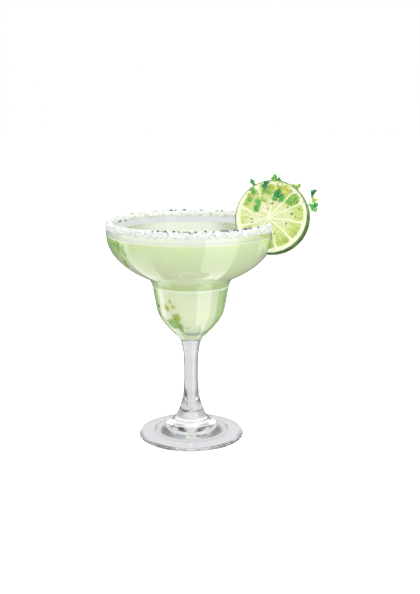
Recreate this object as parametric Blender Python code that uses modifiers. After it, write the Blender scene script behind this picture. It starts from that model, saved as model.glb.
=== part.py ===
# A margarita in its own glass: stemmed glass with a stepped bowl, pale green drink, salted rim
# and a lime wheel slit over the rim. The origin is the middle of the foot's flat underside, on
# the glass's axis, and +Z is up. Lengths are in millimetres, turned into metres as meshes are made.

import math
import random

import bmesh
import bpy
import numpy as np
from mathutils import Euler, Matrix, Vector

# Driving dimensions.
MM = 0.001
TURN_STEPS = 48  # facets round every turned piece
GAP = 0.3  # kept between pieces that touch

FOOT_RADIUS = 36.7
FOOT_EDGE_HEIGHT = 2.3
FOOT_FLARE_START = (22.4, 4.9)  # where the foot's shallow cone turns up towards the stem
STEM_RADIUS = 4.75
STEM_WAIST_HEIGHT = 48.0
KNEE = (8.8, 71.4)  # the stem has opened into the lower bowl
LOWER_BOWL_SHOULDER = (23.8, 93.5)
LOWER_BOWL_TOP = (26.1, 106.5)
UPPER_BOWL_START = (31.0, 114.2)
UPPER_BOWL_RADIUS = 57.3
UPPER_BOWL_SIDE_HEIGHT = 145.0  # the wall is upright here
LIP_HEIGHT = 150.6
LIP_TUCK = 0.5  # the lip leans in by this much
WALL = 2.2
WELL_HEIGHT = 76.9  # lowest point of the inside
WELL_START_HEIGHT = 83.0  # above this the inside follows the outside at one wall's distance
WELL_FLATNESS = 6.0  # how far the well's floor and side run straight before they bend

DRINK_LEVEL = 143.8

SALT_THICKNESS = 0.8
SALT_CROWN = 1.3  # it is heaped this much higher on top of the lip
SALT_INNER_LOW = 148.9
SALT_OUTER_LOW = 148.6
SALT_EDGE_WANDER = 0.7  # how far the crust's lower edges wander up and down
SALT_WAVES = ((5, 0.5, 0.6), (11, 0.3, 2.0), (17, 0.2, 0.0))  # (waves round the rim, share, start)
SALT_GRAINS = 92
SALT_GRAIN_SIZE = (0.9, 1.5)
SALT_GRAIN_SECTIONS_DEG = (0, 25, 60, 90, 120, 155, 180)  # where round the crust's section they sit
SALT_CLEAR_OF_WHEEL_DEG = 8.0
SALT_SEED = 7

WHEEL_RADIUS = 24.9
WHEEL_THICKNESS = 8.5
WHEEL_ROUND = 0.3  # the rind bulges by this much
WHEEL_SEAT_DEG = -15.5  # where on the rim the wheel sits, counted from +X
WHEEL_TURN_DEG = 19.0  # its face turns this far from the -Y side towards -X
WHEEL_LEAN_DEG = 17.4  # and leans back by this much
WHEEL_RISE = 6.9  # its centre above the seat, along its own face
WHEEL_SLIDE = 0.3  # and outwards from it
SLIT_GAP = 0.35

RIND_AND_PITH = 3.0
MEMBRANE = 1.1
CORE_RADIUS = 1.3
CORE_OFFSET = (-1.6, -1.1)  # the lime's core isn't quite in its middle
MEMBRANES_DEG = (-5, 28, 51, 85, 116, 162, 200, 240, 289, 321)
PULP_DEPTH = 0.5
PULP_CORNER = 1.8

# Herb flakes on the wheel's face: (across, up, radius, turn in degrees), across and up from
# the wheel's centre.
FLAKES = (
    (-5.7, 18.5, 2.5, 100),
    (-13.9, 16.1, 2.1, 60),
    (-16.1, 10.8, 1.9, 80),
    (-6.1, 10.1, 1.8, 10),
    (-9.5, 8.9, 2.2, 150),
    (-10.5, 4.9, 2.1, 70),
    (2.5, 14.5, 3.2, 120),
    (5.6, 11.3, 2.4, 40),
    (11.9, 10.3, 2.6, 20),
    (15.3, 11.8, 2.1, 60),
    (6.9, 17.5, 1.8, 0),
    (-0.9, 18.1, 2.2, 140),
)
FLAKE_LIFT = 0.6
FLAKE_LOBES = 3
FLAKE_LOBE_DEPTH = 0.18
FLAKE_NARROWNESS = 0.75
FLAKE_POINTS = 9
# Leaves that stand out from the rind, side by side with the face: (across, up, radius, turn in
# degrees). Each one reaches the rind or the leaf before it.
RIND_LEAVES = (
    (-0.2, 26.3, 2.9, 90),
    (2.6, 25.6, 1.9, 40),
    (-14.9, 22.5, 2.8, 304),
    (13.8, 21.3, 1.7, 0),
    (16.2, 21.0, 2.2, 232),
    (26.5, 8.2, 3.3, 197),
    (28.4, 5.7, 2.3, 320),
    (29.4, 9.3, 2.2, 45),
    (27.3, 12.0, 2.2, 100),
    (26.3, 14.7, 2.2, 110),
    (26.6, 17.7, 2.7, 70),
    (29.5, 12.9, 2.1, 20),
)
LEAF_THICKNESS = 0.8
LEAF_WAVE = 0.3
LEAF_DEPTHS = (2.5, 2.9)  # along the wheel's axis, from its middle, in turn


def material(name, colour, roughness, transmission=0.0, ior=1.45):
    """A Principled material in one plain colour."""
    made = bpy.data.materials.new(name)
    made.use_nodes = True
    shader = made.node_tree.nodes["Principled BSDF"]
    shader.inputs["Base Color"].default_value = (*colour, 1.0)
    shader.inputs["Roughness"].default_value = roughness
    shader.inputs["Metallic"].default_value = 0.0
    shader.inputs["Transmission Weight"].default_value = transmission
    shader.inputs["IOR"].default_value = ior
    return made


def collection(name):
    made = bpy.data.collections.new(name)
    bpy.context.scene.collection.children.link(made)
    return made


def add_object(name, mesh, where, finish=None):
    made = bpy.data.objects.new(name, mesh)
    where.objects.link(made)
    if finish:
        mesh.materials.append(finish)
    return made


def as_cutter(obj):
    obj.hide_render = True
    obj.display_type = "WIRE"
    return obj


def bezier(start, pull_a, pull_b, end, count):
    """The points of a cubic curve after its start, as (radius, height)."""
    points = []
    for step in range(1, count + 1):
        t = step / count
        weights = ((1 - t) ** 3, 3 * (1 - t) ** 2 * t, 3 * (1 - t) * t * t, t**3)
        corners = (start, pull_a, pull_b, end)
        points.append(tuple(sum(w * c[axis] for w, c in zip(weights, corners)) for axis in (0, 1)))
    return points


def arc(centre, radius, start_deg, end_deg, count):
    """Points on a circle from one angle to another, both ends included."""
    angles = [math.radians(start_deg + (end_deg - start_deg) * i / count) for i in range(count + 1)]
    return [(centre[0] + radius * math.cos(a), centre[1] + radius * math.sin(a)) for a in angles]


def moved_aside(points, distance):
    """The same line moved to its left, as seen along it, by a distance."""
    line = np.array(points, dtype=float)
    along = np.gradient(line, axis=0)
    along /= np.linalg.norm(along, axis=1)[:, None]
    return [tuple(p) for p in line + distance * np.column_stack([-along[:, 1], along[:, 0]])]


def bowl_outside():
    """The bowl's outer line from the stem's waist up to where the lip begins to round."""
    lip_start = (UPPER_BOWL_RADIUS - LIP_TUCK, LIP_HEIGHT - WALL / 2)
    points = [(STEM_RADIUS, STEM_WAIST_HEIGHT)]
    points += bezier(points[-1], (STEM_RADIUS, 54.9), (5.3, 68.0), KNEE, 4)
    points += bezier(KNEE, (22.1, 84.2), (22.8, 88.3), LOWER_BOWL_SHOULDER, 6)
    points.append(LOWER_BOWL_TOP)
    points += bezier(LOWER_BOWL_TOP, (27.0, 111.2), (28.6, 113.1), UPPER_BOWL_START, 3)
    side = (UPPER_BOWL_RADIUS, UPPER_BOWL_SIDE_HEIGHT)
    points += bezier(UPPER_BOWL_START, (44.8, 120.4), (UPPER_BOWL_RADIUS, 130.2), side, 7)
    points.append(lip_start)
    return points


def bowl_inside():
    """The bowl's inner line from its lowest point, on the axis, up to the lip."""
    wall = [p for p in moved_aside(bowl_outside(), WALL) if p[1] > WELL_START_HEIGHT]
    first, second = Vector(wall[0]), Vector(wall[1])
    pull = first - (second - first).normalized() * WELL_FLATNESS
    well = bezier((0.0, WELL_HEIGHT), (WELL_FLATNESS, WELL_HEIGHT), tuple(pull), wall[0], 4)
    return [(0.0, WELL_HEIGHT)] + well + wall[1:]


def below(points, level):
    """The line up to a level, ending exactly on it."""
    kept = [p for p in points if p[1] < level - 0.5]
    above = points[len(kept)]
    share = (level - kept[-1][1]) / (above[1] - kept[-1][1])
    return kept + [(kept[-1][0] + share * (above[0] - kept[-1][0]), level)]


def ring_mesh(name, profile, closed):
    """A line of (radius, height) points in the XZ plane, ready to be turned about Z."""
    mesh = bpy.data.meshes.new(name)
    count = len(profile)
    edges = [(i, i + 1) for i in range(count - 1)]
    if closed:
        edges.append((count - 1, 0))
    mesh.from_pydata([(r * MM, 0.0, z * MM) for r, z in profile], edges, [])
    return mesh


def turned(name, profile, where, finish=None, closed=False):
    """A profile turned about Z. Its outer side runs down, top to bottom."""
    obj = add_object(name, ring_mesh(name, profile, closed), where, finish)
    screw = obj.modifiers.new("Turn", "SCREW")
    screw.angle = math.tau
    screw.steps = TURN_STEPS
    screw.render_steps = TURN_STEPS
    screw.use_merge_vertices = True
    screw.merge_threshold = 0.00001
    screw.use_smooth_shade = True
    return obj


def set_as_evaluated(obj):
    """The modifiers' result becomes the object's own mesh."""
    graph = bpy.context.evaluated_depsgraph_get()
    mesh = bpy.data.meshes.new_from_object(obj.evaluated_get(graph))
    mesh.name = obj.name
    obj.modifiers.clear()
    obj.data = mesh


def boolean(obj, operation, other):
    """Joins or cuts with one object, or with all that a collection holds."""
    modifier = obj.modifiers.new(operation.title(), "BOOLEAN")
    modifier.operation = operation
    modifier.solver = "EXACT"
    if isinstance(other, bpy.types.Collection):
        modifier.operand_type = "COLLECTION"
        modifier.collection = other
    else:
        modifier.object = other


def remove_collection(group):
    for obj in list(group.objects):
        bpy.data.objects.remove(obj)
    bpy.data.collections.remove(group)


def prism(name, outline, low, high, top_share, where):
    """A flat outline of (x, y) points drawn up from low to high, its top scaled by top_share."""
    bm = bmesh.new()
    base = bm.faces.new([bm.verts.new((x * MM, y * MM, low * MM)) for x, y in outline])
    grown = bmesh.ops.extrude_face_region(bm, geom=[base])["geom"]
    top = [v for v in grown if isinstance(v, bmesh.types.BMVert)]
    middle = sum((v.co for v in top), Vector()) / len(top)
    for vertex in top:
        vertex.co = middle + (vertex.co - middle) * top_share
        vertex.co.z = high * MM
    bmesh.ops.recalc_face_normals(bm, faces=bm.faces)
    mesh = bpy.data.meshes.new(name)
    bm.to_mesh(mesh)
    bm.free()
    return add_object(name, mesh, where)


def wavy_leaf(name, outline, where):
    """A thin leaf: an outline of (x, y) points whose edge rises and falls in two waves."""
    bm = bmesh.new()
    count = len(outline)
    sides = []
    for side in (-LEAF_THICKNESS / 2, LEAF_THICKNESS / 2):
        ring = []
        for index, (x, y) in enumerate(outline):
            lift = LEAF_WAVE * math.cos(2 * math.tau * index / count)
            ring.append(bm.verts.new((x * MM, y * MM, (side + lift) * MM)))
        middle = bm.verts.new((0.0, 0.0, side * MM))
        for index in range(count):
            bm.faces.new((ring[index], ring[(index + 1) % count], middle))
        sides.append(ring)
    low, high = sides
    for index in range(count):
        after = (index + 1) % count
        bm.faces.new((low[index], low[after], high[after]))
        bm.faces.new((low[index], high[after], high[index]))
    bmesh.ops.recalc_face_normals(bm, faces=bm.faces)
    mesh = bpy.data.meshes.new(name)
    bm.to_mesh(mesh)
    bm.free()
    return add_object(name, mesh, where)


def make_glass(where, finish):
    """Foot, stem and bowl in one piece, from the inside's lowest point over the lip and down."""
    lip_middle = UPPER_BOWL_RADIUS - LIP_TUCK - WALL / 2
    lip = arc((lip_middle, LIP_HEIGHT - WALL / 2), WALL / 2, 180, 0, 4)
    foot = [(STEM_RADIUS, STEM_WAIST_HEIGHT)]
    foot += bezier(foot[0], (STEM_RADIUS, 39.6), (3.5, 9.8), FOOT_FLARE_START, 7)
    edge_round = FOOT_EDGE_HEIGHT / 2
    edge = arc((FOOT_RADIUS - edge_round, edge_round), edge_round, 80, -90, 3)
    profile = bowl_inside()[:-1] + lip + bowl_outside()[-2:0:-1] + foot + edge + [(0.0, 0.0)]
    return turned("glass", profile, where, finish)


def make_wall_cutter(where):
    """The bowl's wall, thicker by the slit's gap on both sides, which cuts the lime's slit."""
    outside = [p for p in moved_aside(bowl_outside(), -SLIT_GAP) if p[1] > WELL_START_HEIGHT]
    inside = [p for p in moved_aside(bowl_inside(), SLIT_GAP) if p[1] > WELL_START_HEIGHT]
    lip_middle = UPPER_BOWL_RADIUS - LIP_TUCK - WALL / 2
    lip = arc((lip_middle, LIP_HEIGHT - WALL / 2), WALL / 2 + SLIT_GAP, 180, 0, 4)
    profile = inside[:-1] + lip + outside[-2::-1]
    return as_cutter(turned("wall_cutter", profile, where, closed=True))


def wheel_frame():
    """The wheel's place: its own Z is the face's normal and its X runs outwards along the face."""
    seat_angle = math.radians(WHEEL_SEAT_DEG)
    seat_radius = UPPER_BOWL_RADIUS - LIP_TUCK - WALL / 2
    seat = Vector((math.cos(seat_angle), math.sin(seat_angle), 0.0)) * seat_radius
    seat.z = LIP_HEIGHT - WALL / 2
    turn = Euler((math.radians(90 - WHEEL_LEAN_DEG), 0.0, math.radians(-WHEEL_TURN_DEG)))
    across, up, _ = turn.to_matrix().transposed()
    centre = seat + up * WHEEL_RISE + across * WHEEL_SLIDE
    return Matrix.Translation(centre * MM) @ turn.to_matrix().to_4x4()


def disc_profile(radius, thickness, bulge):
    """From the middle of the front face, over the rind's round edge, to the back face."""
    half = thickness / 2
    edge = [(radius - bulge, half), (radius, half * 0.4), (radius, -half * 0.4)]
    return [(0.0, half)] + edge + [(radius - bulge, -half), (0.0, -half)]


def make_disc(name, grown, where):
    """The wheel as a plain disc, larger by a distance all over."""
    disc = turned(
        name,
        disc_profile(WHEEL_RADIUS + grown, WHEEL_THICKNESS + 2 * grown, WHEEL_ROUND),
        where,
    )
    disc.matrix_world = wheel_frame()
    return disc


def segment_outline(start_deg, end_deg):
    """One pulp segment: a wedge from the core to the pith, its corners rounded."""
    core = np.array(CORE_OFFSET)
    start, end = math.radians(start_deg), math.radians(end_deg)
    middle = (start + end) / 2
    pulp_radius = WHEEL_RADIUS - RIND_AND_PITH
    inset = MEMBRANE / 2 / math.sin((end - start) / 2)
    tip = core + max(inset, CORE_RADIUS) * np.array([math.cos(middle), math.sin(middle)])
    corners = [tip]
    for share in (0.0, 0.33, 0.67, 1.0):
        angle = start + (end - start) * share
        ray = np.array([math.cos(angle), math.sin(angle)])
        inward = np.array([-ray[1], ray[0]]) * MEMBRANE / 2 * (1 - 2 * share)
        foot = core + inward
        along = foot @ ray
        reach = -along + math.sqrt(along * along - foot @ foot + pulp_radius**2)
        corners.append(foot + ray * reach)
    outline = []
    for index, corner in enumerate(corners):
        before, after = corners[index - 1], corners[(index + 1) % len(corners)]
        if index in (2, 3):
            outline.append(tuple(corner))
            continue
        into = before - corner
        away = after - corner
        cut_into = corner + into / np.linalg.norm(into) * PULP_CORNER
        cut_away = corner + away / np.linalg.norm(away) * PULP_CORNER
        outline += [tuple(cut_into), tuple((cut_into + 2 * corner + cut_away) / 4), tuple(cut_away)]
    return outline


def make_pulp_cutters(where):
    """Shallow wedges that sink the pulp below the membranes, on both faces."""
    half = WHEEL_THICKNESS / 2
    for index, start in enumerate(MEMBRANES_DEG):
        following = MEMBRANES_DEG[(index + 1) % len(MEMBRANES_DEG)]
        end = following if following > start else following + 360
        outline = segment_outline(start, end)
        for side in (1, -1):
            low, high = side * (half - PULP_DEPTH), side * (half + 1.0)
            wedge = prism(f"pulp_cutter_{index}_{side}", outline, low, high, 1.1, where)
            wedge.matrix_world = wheel_frame()
            as_cutter(wedge)


def flake_outline(radius, turn):
    """A small torn leaf: a circle whose radius swells into lobes, narrowed and then turned."""
    outline = []
    for step in range(FLAKE_POINTS):
        angle = math.tau * step / FLAKE_POINTS
        reach = radius * (1 - FLAKE_LOBE_DEPTH + FLAKE_LOBE_DEPTH * math.cos(FLAKE_LOBES * angle))
        along, aside = reach * math.cos(angle), FLAKE_NARROWNESS * reach * math.sin(angle)
        x = along * math.cos(turn) - aside * math.sin(turn)
        outline.append((x, along * math.sin(turn) + aside * math.cos(turn)))
    return outline


def make_flakes(where):
    """Herb flakes stuck to the front face, and leaves stuck in the rind, sunk in so that they join."""
    frame = wheel_frame()
    front = WHEEL_THICKNESS / 2
    for index, (across, up, radius, turn) in enumerate(FLAKES):
        outline = flake_outline(radius, math.radians(turn))
        name = f"flake_{index}"
        flake = prism(name, outline, -PULP_DEPTH - 0.3, FLAKE_LIFT, 0.8, where)
        flake.matrix_world = frame @ Matrix.Translation(Vector((across, up, front)) * MM)
    for index, (across, up, radius, turn) in enumerate(RIND_LEAVES):
        leaf = wavy_leaf(f"rind_leaf_{index}", flake_outline(radius, math.radians(turn)), where)
        depth = LEAF_DEPTHS[index % len(LEAF_DEPTHS)]
        leaf.matrix_world = frame @ Matrix.Translation(Vector((across, up, depth)) * MM)


def make_lime_wheel(where, cutters, finish):
    """One slice right across a lime, slit over the glass's wall, with its flakes."""
    wheel = make_disc("lime_wheel", 0.0, where)
    wheel.data.materials.append(finish)
    pulp = collection("pulp_cutters")
    make_pulp_cutters(pulp)
    boolean(wheel, "DIFFERENCE", pulp)
    set_as_evaluated(wheel)
    remove_collection(pulp)
    flakes = collection("flakes")
    make_flakes(flakes)
    boolean(wheel, "UNION", flakes)
    set_as_evaluated(wheel)
    remove_collection(flakes)
    boolean(wheel, "DIFFERENCE", make_wall_cutter(cutters))
    return wheel


def make_drink(where, cutters, finish):
    """The drink up to its level, a gap inside the wall, cut round the lime that dips into it."""
    side = below([p for p in moved_aside(bowl_inside(), GAP) if p[0] > 1.0], DRINK_LEVEL)
    profile = [(0.0, DRINK_LEVEL)] + side[::-1] + [(0.0, WELL_HEIGHT + GAP)]
    drink = turned("drink", profile, where, finish)
    boolean(drink, "DIFFERENCE", as_cutter(make_disc("lime_space_in_drink", GAP, cutters)))
    return drink


def salt_profile():
    """The crust's U section over the lip, as a closed line whose outer side runs down."""
    outside = UPPER_BOWL_RADIUS - LIP_TUCK
    middle = outside - WALL / 2
    round_height = LIP_HEIGHT - WALL / 2
    near, far = WALL / 2 + GAP, WALL / 2 + GAP + SALT_THICKNESS
    lean = LIP_TUCK * 0.3  # the outer skirt stands clear where the wall swells below the lip
    skin = arc((middle, round_height), far, 180, 0, 5)
    skin = [(radius, height + SALT_CROWN * (height - round_height) / far) for radius, height in skin]
    lining = arc((middle, round_height), near, 0, 180, 3)
    outer_skirt = [(middle + far + lean, SALT_OUTER_LOW), (middle + near + lean, SALT_OUTER_LOW)]
    inner_skirt = [(middle - near, SALT_INNER_LOW), (middle - far, SALT_INNER_LOW)]
    return skin + outer_skirt + lining + inner_skirt


def wander_salt_edges(crust):
    """Moves the crust's lower edges up and down by a few waves round the rim."""
    places = np.empty(len(crust.data.vertices) * 3)
    crust.data.vertices.foreach_get("co", places)
    places = places.reshape(-1, 3)
    angle = np.arctan2(places[:, 1], places[:, 0])
    wave = sum(share * np.sin(count * angle + start) for count, share, start in SALT_WAVES)
    lowest = places[:, 2] < (max(SALT_INNER_LOW, SALT_OUTER_LOW) + GAP / 2) * MM
    places[lowest, 2] += SALT_EDGE_WANDER * wave[lowest] * MM
    crust.data.vertices.foreach_set("co", places.ravel())


def make_salt_grains(where):
    """Coarse salt cubes stuck all round the crust's skin, but not beside the lime wheel."""
    chance = random.Random(SALT_SEED)
    middle = UPPER_BOWL_RADIUS - LIP_TUCK - WALL / 2
    skin = WALL / 2 + GAP + SALT_THICKNESS
    for index in range(SALT_GRAINS):
        angle_deg = 360.0 * (index + chance.uniform(-0.35, 0.35)) / SALT_GRAINS
        size = chance.uniform(*SALT_GRAIN_SIZE)
        tilt = Euler([chance.uniform(0.0, math.tau) for _ in range(3)])
        section = math.radians(chance.choice(SALT_GRAIN_SECTIONS_DEG) + chance.uniform(-10, 10))
        from_wheel = (angle_deg - WHEEL_SEAT_DEG + 180) % 360 - 180
        if abs(from_wheel) < SALT_CLEAR_OF_WHEEL_DEG:
            continue
        radius = middle + skin * math.cos(section)
        height = LIP_HEIGHT - WALL / 2 + (skin + SALT_CROWN) * math.sin(section)
        angle = math.radians(angle_deg)
        place = Vector((radius * math.cos(angle), radius * math.sin(angle), height)) * MM
        bm = bmesh.new()
        bmesh.ops.create_cube(bm, size=size * MM)
        mesh = bpy.data.meshes.new(f"grain_{index}")
        bm.to_mesh(mesh)
        bm.free()
        grain = add_object(f"grain_{index}", mesh, where)
        grain.matrix_world = Matrix.Translation(place) @ tilt.to_matrix().to_4x4()


def make_salt_rim(where, cutters, finish):
    """The salt crust over the lip with coarse grains on it, open where the lime wheel sits."""
    crust = turned("salt_rim", salt_profile(), where, finish, closed=True)
    set_as_evaluated(crust)
    wander_salt_edges(crust)
    grains = collection("grains")
    make_salt_grains(grains)
    boolean(crust, "UNION", grains)
    set_as_evaluated(crust)
    remove_collection(grains)
    boolean(crust, "DIFFERENCE", as_cutter(make_disc("lime_space_in_salt", GAP, cutters)))
    return crust


def main():
    for obj in list(bpy.data.objects):
        bpy.data.objects.remove(obj)
    parts = collection("margarita")
    cutters = collection("cutters")
    clear_glass = material("clear_glass", (0.95, 0.97, 0.97), 0.03, 1.0, 1.5)
    green_drink = material("green_drink", (0.62, 0.75, 0.42), 0.1, 0.6, 1.34)
    lime = material("lime", (0.52, 0.66, 0.22), 0.45)
    salt = material("salt", (0.93, 0.93, 0.94), 0.6)
    make_glass(parts, clear_glass)
    make_drink(parts, cutters, green_drink)
    make_salt_rim(parts, cutters, salt)
    make_lime_wheel(parts, cutters, lime)


main()
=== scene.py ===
# A margarita in its own glass: turned clear glass, cloudy lime drink, salt crust on the rim,
# and a lime wheel with torn herb leaves. Lengths are in millimetres, unless a comment says metres.
import math

import bpy
import numpy as np
from mathutils import Euler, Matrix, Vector


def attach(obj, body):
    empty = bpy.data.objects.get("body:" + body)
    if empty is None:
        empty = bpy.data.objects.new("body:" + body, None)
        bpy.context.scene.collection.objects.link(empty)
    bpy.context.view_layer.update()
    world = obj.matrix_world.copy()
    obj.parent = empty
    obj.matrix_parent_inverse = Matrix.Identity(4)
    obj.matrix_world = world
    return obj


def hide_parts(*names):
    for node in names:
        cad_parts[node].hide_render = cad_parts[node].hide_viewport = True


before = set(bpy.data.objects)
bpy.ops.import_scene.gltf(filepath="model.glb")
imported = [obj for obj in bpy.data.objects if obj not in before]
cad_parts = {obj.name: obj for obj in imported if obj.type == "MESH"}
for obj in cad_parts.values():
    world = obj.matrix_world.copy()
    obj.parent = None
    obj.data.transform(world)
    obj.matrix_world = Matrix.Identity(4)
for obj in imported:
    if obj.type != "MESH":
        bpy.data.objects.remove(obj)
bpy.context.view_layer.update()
print("frame loaded:", ", ".join(sorted(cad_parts)))

mm = 0.001
tau = 2 * math.pi


def linearColour(hexText):
    # an sRGB hex value turned to the linear one that shaders take
    srgb = np.array([int(hexText[i:i + 2], 16) for i in (1, 3, 5)]) / 255.0
    linear = np.where(srgb <= 0.04045, srgb / 12.92, ((srgb + 0.055) / 1.055) ** 2.4)
    return (*linear.tolist(), 1.0)


def addNode(tree, kind, settings=None, inputs=None):
    # one node; an input is a plain value, an output socket, or a node whose first live output feeds it
    node = tree.nodes.new("ShaderNode" + kind)
    for key, value in (settings or {}).items():
        setattr(node, key, value)
    for key, value in (inputs or {}).items():
        if isinstance(value, bpy.types.Node):
            value = next(socket for socket in value.outputs if socket.enabled)
        if isinstance(value, bpy.types.NodeSocket):
            tree.links.new(value, node.inputs[key])
        else:
            node.inputs[key].default_value = value
    return node


def newMaterial(name):
    material = bpy.data.materials.new(name)
    material.use_nodes = True
    material.node_tree.nodes.clear()
    return material, material.node_tree


def finishMaterial(tree, surface):
    addNode(tree, "OutputMaterial", inputs={"Surface": surface})


def setRamp(ramp, stops):
    # stops are (place, hex), or (from, to, hex) where a colour holds; a new ramp has two already
    stripe = ramp.color_ramp
    points = [(place, hexText) for *places, hexText in stops for place in places]
    while len(stripe.elements) < len(points):
        stripe.elements.new(0.5)
    for element, (place, hexText) in zip(stripe.elements, points):
        element.position = place
        element.color = linearColour(hexText)


def finishSoft(tree, look, inputs, relief=None, strength=1.0):
    # a surface that light goes into: look gives how much, and how far red, green and blue reach in metres
    if relief:
        depth = look["reliefDepth"] * mm
        bump = addNode(tree, "Bump", inputs={"Height": relief, "Strength": strength, "Distance": depth})
        inputs["Normal"] = bump
    bulk = addNode(tree, "BsdfPrincipled", inputs={
        "Roughness": look["roughness"],
        "IOR": look["ior"],
        "Subsurface Weight": look["glow"],
        "Subsurface Radius": look["reach"],
        "Subsurface Scale": 1.0,
        **inputs,
    })
    finishMaterial(tree, bulk)


softEdge = {"interpolation_type": "SMOOTHSTEP"}
inColour = {"data_type": "RGBA"}


def layMesh(name, points, faces, finish, smooth=True):
    # a mesh from whole arrays; a face row ends in -1 where it is a triangle
    mesh = bpy.data.meshes.new(name)
    mesh.vertices.add(len(points))
    mesh.vertices.foreach_set("co", np.ascontiguousarray(points, dtype=np.float32).ravel())
    sizes = (faces >= 0).sum(axis=1)
    corners = faces[faces >= 0].astype(np.int32)
    starts = np.concatenate([[0], np.cumsum(sizes)[:-1]]).astype(np.int32)
    mesh.loops.add(len(corners))
    mesh.loops.foreach_set("vertex_index", corners)
    mesh.polygons.add(len(faces))
    mesh.polygons.foreach_set("loop_start", starts)
    mesh.polygons.foreach_set("use_smooth", np.full(len(faces), smooth))
    mesh.update(calc_edges=True)
    mesh.validate()
    mesh.materials.append(finish)
    piece = bpy.data.objects.new(name, mesh)
    bpy.context.scene.collection.objects.link(piece)
    return piece


def paintPoints(piece, name, values):
    # one vector of numbers for each point, which the material reads by name
    layer = piece.data.attributes.new(name, "FLOAT_VECTOR", "POINT")
    layer.data.foreach_set("vector", np.ascontiguousarray(values, dtype=np.float32).ravel())


def ringFaces(rows, columns, closed=False):
    # quads between neighbouring rings; they meet in a loop if closed, or else fans shut them at two poles
    row = np.arange(rows if closed else rows - 1)[:, None]
    column = np.arange(columns)[None, :]
    after, below = (column + 1) % columns, (row + 1) % rows
    here, there = row * columns, below * columns
    quads = np.stack([here + column, there + column, there + after, here + after], axis=-1).reshape(-1, 4)
    if closed:
        return quads
    around = np.arange(columns)
    following, none = (around + 1) % columns, np.full(columns, -1)
    base = (rows - 1) * columns
    first, last = np.full(columns, rows * columns), np.full(columns, rows * columns + 1)
    startFan = np.stack([first, around, following, none], axis=1)
    endFan = np.stack([base + around, last, base + following, none], axis=1)
    return np.vstack([quads, startFan, endFan])


def fullTurn(count):
    return np.linspace(0, tau, count, endpoint=False)


def roundAxis(radius, angle, height):
    # x = r cos(a), y = r sin(a), z = height
    return np.stack([radius * np.cos(angle), radius * np.sin(angle), height + 0 * angle], axis=-1)


def turnLine(line, columns, closed=False):
    # each (r, z) of the line carried round the axis, on which its two ends lie unless it is closed
    inner = line if closed else line[1:-1]
    rings = roundAxis(inner[:, :1], fullTurn(columns), inner[:, 1:]).reshape(-1, 3)
    return rings if closed else np.vstack([rings, [[0, 0, line[0, 1]], [0, 0, line[-1, 1]]]])


def layTurned(name, line, columns, finish):
    return layMesh(name, turnLine(line, columns) * mm, ringFaces(len(line) - 2, columns), finish)


def bezierLine(start, pullA, pullB, end, count):
    # the cubic through two pulls, without its first point
    t = np.linspace(0, 1, count + 1)[1:, None]
    corners = [np.array(corner, dtype=float) for corner in (start, pullA, pullB, end)]
    weights = ((1 - t) ** 3, 3 * (1 - t) ** 2 * t, 3 * (1 - t) * t * t, t**3)
    return sum(weight * corner for weight, corner in zip(weights, corners))


def arcLine(centre, radius, startDeg, endDeg, count):
    angle = np.radians(np.linspace(startDeg, endDeg, count + 1))
    return np.array(centre) + roundAxis(radius, angle, 0)[:, :2]


def besideLine(line, distance):
    # the line moved to its left by a distance
    along = np.gradient(line, axis=0)
    along /= np.linalg.norm(along, axis=1)[:, None]
    return line + distance * np.stack([-along[:, 1], along[:, 0]], axis=1)


def softNoise(places, size, seed):
    # a sum of sine waves in random directions, about -1 to 1, with bumps of a given size
    waves = 28
    chance = np.random.default_rng(seed)
    direction = chance.normal(size=(3, waves))
    direction /= np.linalg.norm(direction, axis=0)
    pitch = tau / size * chance.uniform(0.5, 1.3, waves)
    rolls = np.sin(places @ (direction * pitch) + chance.uniform(0, tau, waves))
    return rolls.sum(axis=1) / math.sqrt(waves)


def layeredNoise(places, layers, seed):
    # noises of several (rise, size) on top of each other
    return sum(rise * softNoise(places, size, seed + i) for i, (rise, size) in enumerate(layers))


def smoothStep(low, high, value):
    t = np.clip((value - low) / (high - low), 0, 1)
    return t * t * (3 - 2 * t)


def turnMatrices(chance, count):
    # random turns as 3 x 3 matrices, from unit quaternions
    quaternion = chance.normal(size=(count, 4))
    w, x, y, z = (quaternion / np.linalg.norm(quaternion, axis=1)[:, None]).T
    rows = [
        [1 - 2 * (y * y + z * z), 2 * (x * y - z * w), 2 * (x * z + y * w)],
        [2 * (x * y + z * w), 1 - 2 * (x * x + z * z), 2 * (y * z - x * w)],
        [2 * (x * z - y * w), 2 * (y * z + x * w), 1 - 2 * (x * x + y * y)],
    ]
    return np.moveaxis(np.array(rows), 2, 0)


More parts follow.
